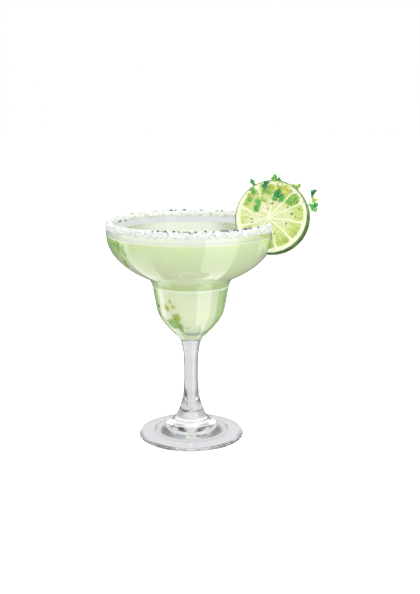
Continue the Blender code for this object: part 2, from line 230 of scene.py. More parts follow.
glassShape = {
    "columns": 248,
    "footRadius": 36.7,
    "footEdge": 2.3,
    "stemRadius": 4.75,
    "stemWaist": 48.0,
    # from the stem's waist down to the foot: two pulls, end and rows
    "flareCurve": ((4.75, 39.6), (3.5, 9.8), (22.4, 4.9), 90),
    # the same from there up: opening knee, lower bowl, its straight side, waist and upper bowl
    "bowlCurves": (
        ((4.75, 54.9), (5.3, 68.0), (8.8, 71.4), 18),
        ((22.1, 84.2), (22.8, 88.3), (23.8, 93.5), 22),
        ((24.6, 97.8), (25.3, 102.0), (26.1, 106.5), 8),
        ((27.0, 111.2), (28.6, 113.1), (31.0, 114.2), 28),
        ((44.8, 120.4), (57.3, 130.2), (57.3, 145.0), 28),
    ),
    "lipRadius": 56.8,
    "lip": 150.6,
    "wall": 2.2,
    # fine turned ridges: height, rise and half width
    "flareRings": ((20.4, 0.09, 0.3), (18.8, 0.12, 0.35), (17.2, 0.1, 0.3), (12.6, 0.22, 0.5)),
    "neckBead": (109.6, 0.16, 0.45),
    "well": 76.9,  # lowest point inside
    "wellTop": 83.0,  # above it the inside runs beside the outside
    "wellFlatness": 6.0,
    "underRows": 70,
    # the underside as (out, rise) from the axis: flat recess, small step, shallow part, steep step, slope,
    # and the ring that it stands on
    "underside": ((0.0, 4.7), (14.8, 4.7), (15.8, 3.2), (24.3, 2.8), (25.7, 1.4), (32.6, 0.0), (34.0, 0.0)),
}


def bowlOutside():
    # from the stem's waist up to where the lip starts
    shape = glassShape
    curves = [[(shape["stemRadius"], shape["stemWaist"])]]
    for pullA, pullB, end, rows in shape["bowlCurves"]:
        curves.append(bezierLine(curves[-1][-1], pullA, pullB, end, rows))
    return np.vstack([*curves, [(shape["lipRadius"], shape["lip"] - shape["wall"] / 2)]])


def bowlInside():
    # from the lowest point on the axis, round the well, and up beside the outside
    shape = glassShape
    beside = besideLine(bowlOutside(), shape["wall"])
    wall = beside[beside[:, 1] > shape["wellTop"]]
    along = (wall[1] - wall[0]) / np.linalg.norm(wall[1] - wall[0])
    floor, flat = (0.0, shape["well"]), shape["wellFlatness"]
    well = bezierLine(floor, (flat, shape["well"]), wall[0] - flat * along, wall[0], 20)
    return np.vstack([[floor], well, wall[1:]])


def lipMiddle():
    shape = glassShape
    return shape["lipRadius"] - shape["wall"] / 2, shape["lip"] - shape["wall"] / 2


def ridge(line, height, rise, width):
    # rise exp(-((z - height) / width) squared)
    return rise * np.exp(-(((line[:, 1] - height) / width) ** 2))


def makeGlass(finish):
    shape = glassShape
    lip = arcLine(lipMiddle(), shape["wall"] / 2, 180, 0, 12)
    waist = (shape["stemRadius"], shape["stemWaist"])
    flare = bezierLine(waist, *shape["flareCurve"])
    for height, rise, width in shape["flareRings"]:
        flare[:, 0] += ridge(flare, height, rise, width)
    edgeRound = shape["footEdge"] / 2
    edge = arcLine((shape["footRadius"] - edgeRound, edgeRound), edgeRound, 80, -90, 24)
    underside = np.array(shape["underside"])
    out = np.linspace(underside[-1, 0], 0, shape["underRows"])
    rise = np.interp(out, underside[:, 0], underside[:, 1])
    softened = np.convolve(np.pad(rise, 2, mode="edge"), np.ones(5) / 5, mode="valid")
    under = np.stack([out, softened], axis=1)
    outer = bowlOutside()
    outer[:, 0] += ridge(outer, *shape["neckBead"])
    line = np.vstack([bowlInside()[:-1], lip, outer[-2:0:-1], [waist], flare, edge, under])
    piece = layTurned("glassBody", line, shape["columns"], finish)
    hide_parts("glass")
    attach(piece, "root")


clearGlassLook = {"tint": "#FFFFFF", "roughness": 0.0, "ior": 1.5, "shadowTint": "#FDFEFE"}


def clearBlownGlass():
    # soda-lime glass, blown and fire polished: no grain at all, only bright and dark edges
    look = clearGlassLook
    material, tree = newMaterial("clearBlownGlass")
    surface = addNode(tree, "BsdfPrincipled", inputs={
        "Base Color": linearColour(look["tint"]),
        "Roughness": look["roughness"],
        "IOR": look["ior"],
        "Transmission Weight": 1.0,
    })
    passing = addNode(tree, "BsdfTransparent", inputs={"Color": linearColour(look["shadowTint"])})
    # the light of matt things and of lamps goes straight through
    path = addNode(tree, "LightPath").outputs
    for kind in ("Is Diffuse Ray", "Is Shadow Ray"):
        surface = addNode(tree, "MixShader", inputs={0: path[kind], 1: surface, 2: passing})
    finishMaterial(tree, surface)
    return material


makeGlass(clearBlownGlass())
print("glass made")


drinkShape = {
    "columns": 192,
    "level": 143.8,
    "intoWall": 0.12,  # it reaches this far into the glass, so that no air shows between them
    "climb": 0.35,  # the film that creeps up the wall
    "climbWidth": 0.9,
}


def makeDrink(finish):
    # the surface runs out from the axis, climbs the wall by climb exp(-distance from wall / width), then the
    # line goes down the wall
    shape = drinkShape
    wall = besideLine(bowlInside(), -shape["intoWall"])
    wall = wall[(wall[:, 1] < shape["level"]) & (wall[:, 0] > 0.5)]
    rim = wall[-1, 0] + 0.05
    out = rim - np.concatenate([np.linspace(rim, 6, 24), 6 * np.linspace(1, 0, 16)[1:] ** 1.6])
    climb = shape["climb"] * np.exp(-(rim - out) / shape["climbWidth"])
    surface = np.stack([out, shape["level"] + climb], axis=1)
    line = np.vstack([surface, wall[::-1], [(0.0, glassShape["well"] - shape["intoWall"])]])
    piece = layTurned("drinkBody", line, shape["columns"], finish)
    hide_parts("drink")
    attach(piece, "root")


drinkLook = {
    # colour by height in metres, from the narrow part up to the surface: painted shade at the very bottom, a
    # pale painted highlight line just under the neck, painted shade at the neck that fades upwards, and the
    # surface itself painted lighter as if lit from above
    "byHeight": [(0.0765, "#82936A"), (0.0792, "#E1EBCC"), (0.1068, "#E0E9CA"), (0.1078, "#EBF3DC"),
                 (0.1087, "#EBF3DC"), (0.1094, "#C3D69A"), (0.1125, "#CCDCA6"), (0.117, "#D9E5BC"),
                 (0.1434, "#D5E2B8"), (0.1438, "#E4EFD5")],
    "paintedEdgeShade": "#ABCE82",  # painted shade, deeper green, at the left edge and at both sides of the narrow part
    "paintedNarrowHighlight": "#E8F2D0",  # a painted highlight: a pale streak on the left of the narrow part
    "paintedSurfaceShade": "#9CB072",  # painted shade on the surface towards its left and right ends
    # where each of those starts and where it is full
    "edges": {
        "left": (-0.028, -0.042),  # metres across, in the wide part
        "narrowRight": (0.76, 0.6),  # the narrow part: radians round from +X
        "narrowLeft": (2.68, 2.78),
        "paintedNarrowHighlight": (2.2, 2.32),
        "under": (0.1436, 0.143),  # metres up, as the surface itself has no painted edge shade
        "farLeft": (-0.02, -0.046),  # metres across
        "farRight": (0.013, 0.028),
        "beyond": (-0.004, 0.006),  # metres back from the axis
    },
    "edgeShadeShare": 0.85,
    "farShare": 0.9,
    "shadeEdgeWobble": 0.02,  # metres that the border of the painted edge shade wanders
    "shadeEdgeWobbleSize": 0.03,  # metres
    "narrowTop": 0.107,  # metres up
    "roughness": 0.08,
    "ior": 1.34,
    "glow": 1.0,
    "reach": (0.004, 0.005, 0.0025),
}


def cloudyLimeDrink():
    # tequila, lime juice and ice melt: cloudy, so light spreads inside it; painted shade makes it deeper
    # green at its left edge and at the sides of its narrow part
    look = drinkLook
    material, tree = newMaterial("cloudyLimeDrink")
    place = addNode(tree, "TexCoord").outputs["Object"]
    across, back, up = addNode(tree, "SeparateXYZ", inputs={0: place}).outputs
    low, high = look["byHeight"][0][0], look["byHeight"][-1][0]
    height = addNode(tree, "MapRange", inputs={"Value": up, "From Min": low, "From Max": high})
    colour = addNode(tree, "ValToRGB", inputs={"Fac": height})
    setRamp(colour, [((level - low) / (high - low), hexText) for level, hexText in look["byHeight"]])
    shadeEdgeWobble = addNode(tree, "TexNoise", inputs={
        "Vector": place, "Scale": 1 / look["shadeEdgeWobbleSize"], "Detail": 1.0,
    })
    shifted = addNode(tree, "Math", {"operation": "MULTIPLY_ADD"}, {0: shadeEdgeWobble, 1: look["shadeEdgeWobble"], 2: across})
    around = addNode(tree, "Math", {"operation": "ARCTAN2"}, {0: back, 1: across})
    turned = addNode(tree, "Math", {"operation": "ABSOLUTE"}, {0: around})
    share = {}
    for name, value, most in (
        ("left", shifted, look["edgeShadeShare"]), ("narrowRight", turned, look["edgeShadeShare"]),
        ("narrowLeft", turned, look["edgeShadeShare"]), ("paintedNarrowHighlight", turned, 1.0), ("under", up, 1.0),
        ("farLeft", across, look["farShare"]), ("farRight", across, look["farShare"]),
        ("beyond", back, 1.0),
    ):
        start, end = look["edges"][name]
        share[name] = addNode(tree, "MapRange", softEdge, {
            "Value": value, "From Min": start, "From Max": end, "To Max": most,
        })
    share["narrow"] = addNode(tree, "Math", {"operation": "LESS_THAN"}, {0: up, 1: look["narrowTop"]})
    share["top"] = addNode(tree, "Math", {"operation": "GREATER_THAN"}, {0: up, 1: high - 0.0001})
    # each share from two that are there already
    for name, operation, one, other in (
        ("sides", "ADD", "narrowRight", "narrowLeft"), ("sides", "MULTIPLY", "sides", "narrow"),
        ("paintedEdgeShade", "MAXIMUM", "left", "sides"), ("paintedEdgeShade", "MULTIPLY", "paintedEdgeShade", "under"),
        ("paintedNarrowHighlight", "MULTIPLY", "paintedNarrowHighlight", "narrow"), ("paintedSurfaceShade", "MAXIMUM", "farLeft", "farRight"),
        ("paintedSurfaceShade", "MULTIPLY", "paintedSurfaceShade", "beyond"), ("paintedSurfaceShade", "MULTIPLY", "paintedSurfaceShade", "top"),
    ):
        share[name] = addNode(tree, "Math", {"operation": operation}, {0: share[one], 1: share[other]})
    # painted highlight streak, painted edge shade and painted shade on the surface's ends, laid over the
    # colour by height
    for name in ("paintedNarrowHighlight", "paintedEdgeShade", "paintedSurfaceShade"):
        colour = addNode(tree, "Mix", inColour, {
            "Factor": share[name], "A": colour, "B": linearColour(look[name]),
        })
    finishSoft(tree, look, {"Base Color": colour})
    return material


makeDrink(cloudyLimeDrink())
print("drink made")


wheelShape = {
    "radius": 24.9,
    "thickness": 8.5,
    "bulge": 0.3,
    "seatDeg": -15.5,
    "turnDeg": 19.0,
    "leanDeg": 17.4,
    "rise": 6.9,
    "slide": 0.3,
    "slitGap": 0.35,
    "pulpRadius": 21.6,
    "membrane": 0.75,
    "core": (-1.6, -1.1),
    "coreRadius": 1.3,
    "membranesDeg": (-5, 28, 51, 85, 116, 162, 200, 240, 289, 321),
    "segmentTones": (0.08, 0.02, 0.03, 0.08, 0.12, 0.27, 0.1, 0.0, -0.08, 0.0),  # paler where higher
    "pulpSink": 0.45,
    "sacRise": 0.22,
    "grain": (0.04, 2.4),  # fine bumps all over: rise and size
    "rindEdge": (1.15, 0.75),  # in from the outline, where the rind's colour starts and is full
    "cornerSharpness": 1.5,  # per mm, at the pith; lower rounds the segments' corners more
    "coreSharpness": 5.0,
    "sacs": 330,  # juice sacs that show on a face
    "sacWidth": 0.8,
    "sacLength": 2.7,
    "columns": 440,
    "rings": 66,
}


def wheelPlace():
    # the wheel's own Z is its face's normal and its X runs outwards across the rim
    shape = wheelShape
    radius, height = lipMiddle()
    angle = math.radians(shape["seatDeg"])
    seat = Vector((radius * math.cos(angle), radius * math.sin(angle), height))
    turn = Euler((math.radians(90 - shape["leanDeg"]), 0.0, math.radians(-shape["turnDeg"]))).to_matrix()
    centre = seat + turn.col[1] * shape["rise"] + turn.col[0] * shape["slide"]
    return np.array(turn), np.array(centre)


def onWheel(places):
    # points on the wheel's own axes, in millimetres, put where the wheel is
    turn, centre = wheelPlace()
    return places @ turn.T + centre


def segmentDepth(flat):
    # how far each point lies inside its pulp segment: the soft least of the distances to the
    # nearest membrane, to the pith and to the core; and its distance from the core and its segment's tone
    shape = wheelShape
    fromCore = flat - np.array(shape["core"])
    reach = np.hypot(fromCore[:, 0], fromCore[:, 1])
    bend = 0.012 * np.sin(reach * 0.4)
    angle = np.arctan2(fromCore[:, 1], fromCore[:, 0]) + bend
    past = angle[:, None] - np.radians(shape["membranesDeg"])
    apart = np.abs((past + math.pi) % tau - math.pi)
    toMembrane = np.where(apart < math.pi / 2, reach[:, None] * np.sin(apart), reach[:, None]).min(axis=1)
    wander = 0.25 * np.sin(3 * angle + 1) + 0.15 * np.sin(7 * angle)
    toPith = shape["pulpRadius"] + wander - np.hypot(flat[:, 0], flat[:, 1])
    half = shape["membrane"] / 2 * (0.3 + reach / shape["radius"])
    nearCore, farOut = shape["coreSharpness"], shape["cornerSharpness"]
    sharpness = nearCore + (farOut - nearCore) * smoothStep(5, 18, reach)
    walls = np.stack([toMembrane - half, toPith, reach - shape["coreRadius"]])
    least = walls.min(axis=0)
    depth = least - np.log(np.exp(-sharpness * (walls - least)).sum(axis=0)) / sharpness
    return depth, reach, np.array(shape["segmentTones"])[np.argmin(past % tau, axis=1)]


def juiceSacs(flat, seed):
    # long cells that point at the core: the two nearest of random seeds, measured with a stretched
    # rule; gives how far a point is from its cell's edge and its cell's own number
    shape = wheelShape
    chance = np.random.default_rng(seed)
    radius = shape["pulpRadius"] * np.sqrt(chance.uniform(0, 1, shape["sacs"]))
    seeds = roundAxis(radius, chance.uniform(0, tau, shape["sacs"]), 0)[:, :2]
    ray = seeds - np.array(shape["core"])
    ray /= np.linalg.norm(ray, axis=1)[:, None] + 1e-6
    away = flat[:, None, :] - seeds[None, :, :]
    along = (away * ray).sum(axis=2) / shape["sacLength"]
    across = (away[:, :, 0] * ray[:, 1] - away[:, :, 1] * ray[:, 0]) / shape["sacWidth"]
    far = np.hypot(along, across)
    nearest = np.argmin(far, axis=1)
    two = np.partition(far, 1, axis=1)[:, :2]
    return two[:, 1] - two[:, 0], chance.uniform(0, 1, shape["sacs"])[nearest]


def faceRelief(flat, seed):
    # height of the cut face, and what shows there: pulp share, sac tone
    shape = wheelShape
    depth, reach, segmentTone = segmentDepth(flat)
    pulp = smoothStep(-0.1, 0.45, depth)
    hub = 0.75 * np.exp(-(((reach - 1.0) / 0.22) ** 2))
    edge, tone = juiceSacs(flat, seed)
    dome = smoothStep(0.0, 0.7, edge)
    height = pulp * (shape["sacRise"] * dome - shape["pulpSink"])
    ripe = smoothStep(0.35, 0.95, np.hypot(flat[:, 0], flat[:, 1]) / shape["pulpRadius"])
    return height, np.maximum(pulp, hub), 0.2 * tone + 0.14 * dome + 0.45 * (1 - ripe) + segmentTone


def wallCutter():
    # the bowl's wall, thicker by the slit's gap, as a closed ring
    shape = wheelShape
    outside = besideLine(bowlOutside(), -shape["slitGap"])
    inside = besideLine(bowlInside(), shape["slitGap"])
    outside, inside = (line[line[:, 1] > glassShape["wellTop"]] for line in (outside, inside))
    lip = arcLine(lipMiddle(), glassShape["wall"] / 2 + shape["slitGap"], 180, 0, 10)
    line = np.vstack([inside[:-1], lip, outside[-2::-1]])
    return turnLine(line, 160, closed=True) * mm, ringFaces(len(line), 160, closed=True)


def cutAway(piece, points, faces, finish):
    # takes a closed shape out of a piece, and leaves nothing of the shape behind
    cutter = layMesh("cutter", points, faces, finish)
    cut = piece.modifiers.new("Cut", "BOOLEAN")
    cut.operation = "DIFFERENCE"
    cut.solver = "MANIFOLD"
    cut.object = cutter
    graph = bpy.context.evaluated_depsgraph_get()
    mesh = bpy.data.meshes.new_from_object(piece.evaluated_get(graph))
    piece.modifiers.clear()
    piece.data = mesh
    mesh.name = piece.name
    bpy.data.objects.remove(cutter)


def rindLine(radius, half, inset, rows):
    # the rind's section, front to back: out = radius - bulge side^4
    side = np.linspace(1, -1, rows)
    return np.stack([radius - wheelShape["bulge"] * side**4, half * side * (1 - inset)], axis=1)


def discLine(grown):
    # half the section of the wheel as a plain disc, larger by a distance all over
    half, radius = wheelShape["thickness"] / 2 + grown, wheelShape["radius"] + grown
    front = np.array([(0, half), (radius - 0.6, half)])
    return np.vstack([front, rindLine(radius, half, 0.02, 9), front[::-1] * (1, -1)])


def makeLimeWheel(finish):
    # rings run out across the front face, over the rind and back across the far face
    shape = wheelShape
    half = shape["thickness"] / 2
    out = shape["radius"] * np.linspace(0, 1, shape["rings"] + 1)[1:-1]
    front = np.stack([out, np.full_like(out, half)], axis=1)
    edge = rindLine(shape["radius"], half, 0.015, 11)
    line = np.vstack([[(0, half)], front, edge, front[::-1] * (1, -1), [(0, -half)]])
    places = turnLine(line, shape["columns"])
    facing = np.where(np.abs(places[:, 2]) > half - 1e-6, np.sign(places[:, 2]), 0)
    height, pulp, tone = np.zeros(len(places)), np.zeros(len(places)), np.zeros(len(places))
    for way, seed in ((1, 5), (-1, 6)):
        face = facing == way
        height[face], pulp[face], tone[face] = faceRelief(places[face, :2], seed)
    radius = np.hypot(places[:, 0], places[:, 1])
    start, full = shape["rindEdge"]
    rind = smoothStep(shape["radius"] - start, shape["radius"] - full, radius)
    places[:, 2] += facing * (height + layeredNoise(places, [shape["grain"]], 8))
    piece = layMesh("limeWheel", onWheel(places) * mm, ringFaces(len(line) - 2, shape["columns"]), finish)
    paintPoints(piece, "limeZones", np.stack([pulp, tone, rind], axis=1))
    cutAway(piece, *wallCutter(), finish)
    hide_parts("lime_wheel")
    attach(piece, "root")


limeLook = {
    "pith": "#F0F4D5",
    "pulpDark": "#A2BB58",
    "pulpMid": "#C9D980",
    "pulpPale": "#E5E6BF",
    "rind": "#6E9040",
    "rindDark": "#3C5C26",
    "poreSize": 1.1,
    "reliefDepth": 0.3,
    "mottleSize": 6.0,
    "roughness": 0.5,
    "wetRoughness": 0.18,
    "ior": 1.38,
    "glow": 0.25,
    "reach": (0.002, 0.0022, 0.001),
}


def addMottled(tree, place, size, tone):
    # a tone that goes up to a quarter up and down in patches of a size in millimetres; the patches come too
    patches = addNode(tree, "TexNoise", inputs={"Vector": place, "Scale": 1 / (size * mm), "Detail": 3.0})
    shade = addNode(tree, "Math", {"operation": "MULTIPLY_ADD"}, {0: patches, 1: 0.5, 2: -0.25})
    return patches, addNode(tree, "Math", {"operation": "ADD"}, {0: tone, 1: shade})


def freshCutLime():
    # a lime cut across: wet shining sacs, dull cream pith and a waxy rind full of oil pores
    look = limeLook
    material, tree = newMaterial("freshCutLime")
    zones = addNode(tree, "Attribute", {"attribute_name": "limeZones"}).outputs["Vector"]
    pulp, tone, rind = addNode(tree, "SeparateXYZ", inputs={0: zones}).outputs
    place = addNode(tree, "TexCoord").outputs["Object"]
    patches, mottled = addMottled(tree, place, look["mottleSize"], tone)
    pulpColour = addNode(tree, "ValToRGB", inputs={"Fac": mottled})
    setRamp(pulpColour, [(0.02, look["pulpDark"]), (0.3, look["pulpMid"]), (0.8, look["pulpPale"])])
    rindColour = addNode(tree, "ValToRGB", inputs={"Fac": patches})
    setRamp(rindColour, [(0.38, look["rindDark"]), (0.66, look["rind"])])
    pith = linearColour(look["pith"])
    colour = addNode(tree, "Mix", inColour, {"Factor": pulp, "A": pith, "B": pulpColour})
    colour = addNode(tree, "Mix", inColour, {"Factor": rind, "A": colour, "B": rindColour})
    pores = addNode(tree, "TexVoronoi", inputs={"Vector": place, "Scale": 1 / (look["poreSize"] * mm)})
    wet = addNode(tree, "MapRange", inputs={
        "Value": pulp, "To Min": look["roughness"], "To Max": look["wetRoughness"],
    })
    finishSoft(tree, look, {"Base Color": colour, "Roughness": wet}, pores, rind)
    return material


makeLimeWheel(freshCutLime())
print("lime wheel made")


saltShape = {
    "thickness": 0.6,
    "crown": 1.8,  # heaped this much higher on top of the lip
    "gap": 0.02,
    "innerLow": 149.0,
    "outerLow": 148.7,
    "edgeWander": 1.3,
    "waveRadius": 57.0,
    "waves": ((0.45, 9.0), (0.55, 2.6)),  # of the edge: (rise, size)
    "lumps": ((0.16, 1.5), (0.1, 0.8)),  # of the skin
    "outerSeed": 31,
    "innerSeed": 41,
    "columns": 1100,
    "grains": 5200,
    "grainSize": (0.35, 0.95),
    # dark specks that stand for painted shade between the grains, in short dashes: angle round the rim,
    # place round the section, how many
    "specks": (
        (-110, 74, 5), (-106, 70, 6), (-97, 72, 2), (-93, 68, 5), (-87, 66, 6), (-80, 74, 2), (-69, 72, 4),
        (-116, 60, 1), (-101, 80, 2), (-90, 56, 2), (-76, 60, 1), (-64, 56, 1), (-57, 58, 1), (-67, 68, 4),
        (-61, 70, 4), (-52, 70, 5), (-49, 66, 3), (-47, 74, 4), (-40, 70, 2), (157, 236, 2), (149, 220, 2),
        (127, 226, 1), (188, 22, 1), (196, -8, 1), (138, 112, 2), (105, 116, 4), (101, 122, 3), (95, 118, 5),
        (82, 120, 2), (64, 122, 2), (57, 118, 1), (118, 116, 2),
    ),
    "speckSize": (0.45, 1.0),
    "shadeSpeckProud": 0.25,  # how far they stand out of the crust
    "seed": 21,
}


def saltSection():
    # the crust's U section: skin over the lip, outer foot, lining back under it, inner foot
    shape = saltShape
    radius, height = lipMiddle()
    near = glassShape["wall"] / 2 + shape["gap"]
    far = near + shape["thickness"]
    skin = arcLine((radius, height), far, 180, 0, 22)
    skin[:, 1] += shape["crown"] * (skin[:, 1] - height) / far
    lining = arcLine((radius, height), near, 0, 180, 12)
    outer, inner = shape["outerLow"], shape["innerLow"]
    outerFoot = bezierLine(skin[-1], (radius + far + 0.1, outer), (radius + far, outer - 0.1),
                           (radius + near + 0.15, outer), 6)
    innerFoot = bezierLine(lining[-1], (radius - near, inner), (radius - near, inner),
                           (radius - far + 0.2, inner), 4)
    return np.vstack([skin, outerFoot, lining, innerFoot])


def edgeWave(angle, seed):
    # how far the crust's lower edge rises or drips at each angle, -1 to 1
    rim = roundAxis(saltShape["waveRadius"], angle, 0)
    return layeredNoise(rim, saltShape["waves"], seed)


def makeSaltCrust(finish):
    # the section carried round the rim, its skin pushed out by noise and its feet moved by the wave
    shape = saltShape
    section = saltSection()
    radius, height = lipMiddle()
    columns = shape["columns"]
    angle = fullTurn(columns)
    rings = turnLine(section, columns, closed=True)
    awayR, awayZ = np.repeat(section - (radius, height), columns, axis=0).T
    away = np.hypot(awayR, awayZ)
    push = layeredNoise(rings, shape["lumps"], shape["seed"])
    push *= smoothStep(glassShape["wall"] / 2 + 0.2, glassShape["wall"] / 2 + 0.6, away)
    rings += roundAxis(awayR / away * push, np.tile(angle, len(section)), awayZ / away * push)
    low = smoothStep(height - 0.2, height - 1.0, rings[:, 2])
    outer, inner = (
        np.tile(edgeWave(angle, shape[seed]), len(section)) for seed in ("outerSeed", "innerSeed")
    )
    rings[:, 2] += low * shape["edgeWander"] * np.where(awayR > 0, outer, inner)
    piece = layMesh("saltCrust", rings * mm, ringFaces(len(section), columns, closed=True), finish)
    disc = discLine(0.2)
    cutAway(piece, onWheel(turnLine(disc, 96)) * mm, ringFaces(len(disc) - 2, 96), finish)
    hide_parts("salt_rim")
    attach(piece, "root")


def scatterCubes(name, centres, sizes, chance, finish):
    # rough little blocks: eight corners each, knocked about a little and turned at random
    corner = np.array([(x, y, z) for x in (-1, 1) for y in (-1, 1) for z in (-1, 1)]) * 0.5
    knocked = corner + chance.uniform(-0.09, 0.09, (len(centres), 8, 3))
    knocked *= sizes[:, None, None] * chance.uniform(0.75, 1.15, (len(centres), 1, 3))
    points = np.einsum("nij,nkj->nki", turnMatrices(chance, len(centres)), knocked) + centres[:, None, :]
    sides = np.array([(0, 1, 3, 2), (4, 6, 7, 5), (0, 4, 5, 1), (2, 3, 7, 6), (0, 2, 6, 4), (1, 5, 7, 3)])
    faces = (sides[None] + 8 * np.arange(len(centres))[:, None, None]).reshape(-1, 4)
    return layMesh(name, points.reshape(-1, 3) * mm, faces, finish, smooth=False)


def awayFromWheel(places, margin):
    # True for the points that stand clear of the lime wheel
    turn, centre = wheelPlace()
    own = (places - centre) @ turn
    inside = (np.abs(own[:, 2]) < wheelShape["thickness"] / 2 + margin)
    return ~(inside & (np.hypot(own[:, 0], own[:, 1]) < wheelShape["radius"] + margin))


def saltPlaces(angle, section, proud):
    # points beside the crust's skin, by the angle round the rim and the place round its section in degrees
    shape = saltShape
    radius, height = lipMiddle()
    far = glassShape["wall"] / 2 + shape["gap"] + shape["thickness"] + proud
    flat = np.radians(np.clip(section, 0, 180))
    r = radius + far * np.cos(flat)
    z = height + (far + shape["crown"]) * np.sin(flat)
    drop = (np.minimum(section, 0) + np.minimum(180 - section, 0)) / 40
    lowest = np.where(section < 90, edgeWave(angle, shape["outerSeed"]) + height - shape["outerLow"],
                      edgeWave(angle, shape["innerSeed"]) + height - shape["innerLow"])
    return roundAxis(r, angle, z + drop * np.maximum(lowest, 0.3))


def makeSaltGrains(finish, darkFinish):
    shape = saltShape
    chance = np.random.default_rng(shape["seed"])
    count = shape["grains"]
    centres = saltPlaces(chance.uniform(0, tau, count), chance.uniform(-40, 220, count), -0.1)
    least, most = shape["grainSize"]
    sizes = least + (most - least) * chance.uniform(0, 1, len(centres)) ** 2  # small ones are common
    kept = awayFromWheel(centres, 0.6)
    grains = scatterCubes("saltGrains", centres[kept], sizes[kept], chance, finish)
    # dark cubes put where shade falls between the salt grains: painted shade
    dashes = np.array(shape["specks"], dtype=float)
    plan = np.repeat(dashes, dashes[:, 2].astype(int), axis=0)
    plan[:, :2] += chance.normal(0, 1, (len(plan), 2)) * (0.9, 3.0)
    specks = saltPlaces(np.radians(plan[:, 0]), plan[:, 1], shape["shadeSpeckProud"])
    specks = specks[awayFromWheel(specks, 0.8)]
    sizes = chance.uniform(*shape["speckSize"], len(specks))
    dark = scatterCubes("paintedShadeSpecks", specks, sizes, chance, darkFinish)
    for piece in (grains, dark):
        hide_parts("salt_rim")
        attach(piece, "root")


saltLook = {
    "gritSize": 0.9,
    "reliefDepth": 0.4,
    "dampSize": 2.2,
    "roughness": 0.45,
    "ior": 1.54,
    "reach": (0.001, 0.001, 0.001),
}


def coarseSeaSalt(name, hexText, damp, glow):
    # crushed sea salt: milky white crystals that let a little light in, greyer where they are damp; in dark
    # colours it also makes the specks of painted shade on the salt and the pepper specks
    look = {**saltLook, "glow": glow}
    material, tree = newMaterial(name)
    place = addNode(tree, "TexCoord").outputs["Object"]
    grit, patches = (
        addNode(tree, "TexNoise", inputs={"Vector": place, "Scale": 1 / (look[size] * mm), "Detail": detail})
        for size, detail in (("gritSize", 2.0), ("dampSize", 3.0))
    )
    colour = addNode(tree, "ValToRGB", inputs={"Fac": patches})
    setRamp(colour, [(0.32, damp), (0.46, hexText)])
    finishSoft(tree, look, {"Base Color": colour}, grit, 0.5)
    return material


saltFinish = coarseSeaSalt("coarseSeaSalt", "#F0F2F0", "#C3CBC0", 0.3)
makeSaltCrust(saltFinish)
# the near-black specks on the salt are painted shade between its grains
makeSaltGrains(saltFinish, coarseSeaSalt("paintedShadeSaltSpeck", "#2E332C", "#4A5048", 0.0))
print("salt made")


# torn leaves on the wheel's face: (across, up, size, tone), tone from 0, dark green, to 1, olive yellow
leafPlan = (
    (-5.3, 21.9, 1.7, 0.0), (-6.2, 19.9, 1.7, 0.12), (-5.2, 17.5, 1.0, 0.42), (-1.8, 20.3, 1.4, 0.72),
    (-1.4, 16.6, 1.7, 0.6), (-4.0, 16.5, 1.1, 0.5), (1.7, 18.9, 1.5, 0.9), (2.2, 21.6, 0.9, 0.95),
    (3.2, 16.8, 1.7, 0.12), (2.8, 14.5, 2.1, 0.22), (1.5, 13.4, 1.8, 0.36), (5.6, 13.6, 1.6, 0.24),
    (6.5, 12.1, 1.5, 0.42), (5.1, 10.9, 1.2, 0.5), (7.3, 19.3, 1.3, 0.8), (5.7, 19.8, 0.8, 0.9),
    (7.5, 16.9, 1.5, 0.95), (11.8, 17.8, 1.1, 0.75), (9.4, 20.7, 0.9, 0.85), (11.0, 10.1, 1.7, 0.42),
    (13.1, 12.0, 2.1, 0.48), (15.1, 13.9, 1.7, 0.56), (16.7, 12.8, 1.4, 0.6), (16.6, 9.9, 0.8, 0.45),
    (13.1, 8.0, 0.6, 0.4), (-14.3, 17.6, 1.7, 0.45), (-13.4, 15.8, 1.4, 0.36), (-16.4, 14.0, 1.1, 0.8),
    (-15.9, 10.5, 1.6, 0.4), (-16.9, 8.8, 1.2, 0.68), (-15.7, 12.2, 1.1, 0.55), (-9.8, 9.6, 1.8, 0.45),
    (-6.9, 10.9, 1.4, 0.58), (-4.6, 10.6, 1.0, 0.62), (-9.8, 6.6, 1.5, 0.34), (-10.8, 4.8, 1.6, 0.36),
    (-10.0, 3.7, 1.1, 0.42),
)
# leaves that stand out from the rind: (across, up, size, tone)
rindLeafPlan = (
    (-0.4, 27.1, 1.7, 0.42), (-1.4, 25.6, 1.5, 0.5), (0.8, 26.1, 1.4, 0.36), (2.8, 25.6, 1.3, 0.28),
    (0.1, 28.1, 0.8, 0.3), (4.1, 24.9, 0.7, 0.3), (-15.6, 23.7, 1.5, 0.22), (-14.7, 22.4, 1.5, 0.25),
    (-14.0, 20.9, 1.2, 0.34), (-16.3, 23.0, 0.9, 0.2), (13.8, 21.3, 1.3, 0.78), (12.6, 22.0, 0.8, 0.85),
    (16.4, 21.2, 1.7, 0.55), (15.6, 20.1, 1.3, 0.6), (17.0, 22.4, 0.8, 0.5), (26.2, 8.4, 1.9, 0.4),
    (28.2, 8.5, 1.9, 0.3), (29.7, 9.1, 1.3, 0.18), (27.0, 6.6, 1.6, 0.38), (28.6, 5.5, 1.5, 0.5),
    (29.6, 6.6, 0.9, 0.45), (27.3, 11.2, 1.4, 0.62), (26.9, 13.1, 1.2, 0.74), (28.6, 12.3, 1.1, 0.9),
    (29.9, 12.9, 0.9, 0.97), (26.2, 15.2, 1.2, 0.12), (25.9, 16.5, 1.1, 0.08), (26.7, 17.6, 1.7, 0.02),
    (27.8, 18.5, 1.2, 0.0), (25.6, 18.2, 0.9, 0.06),
)
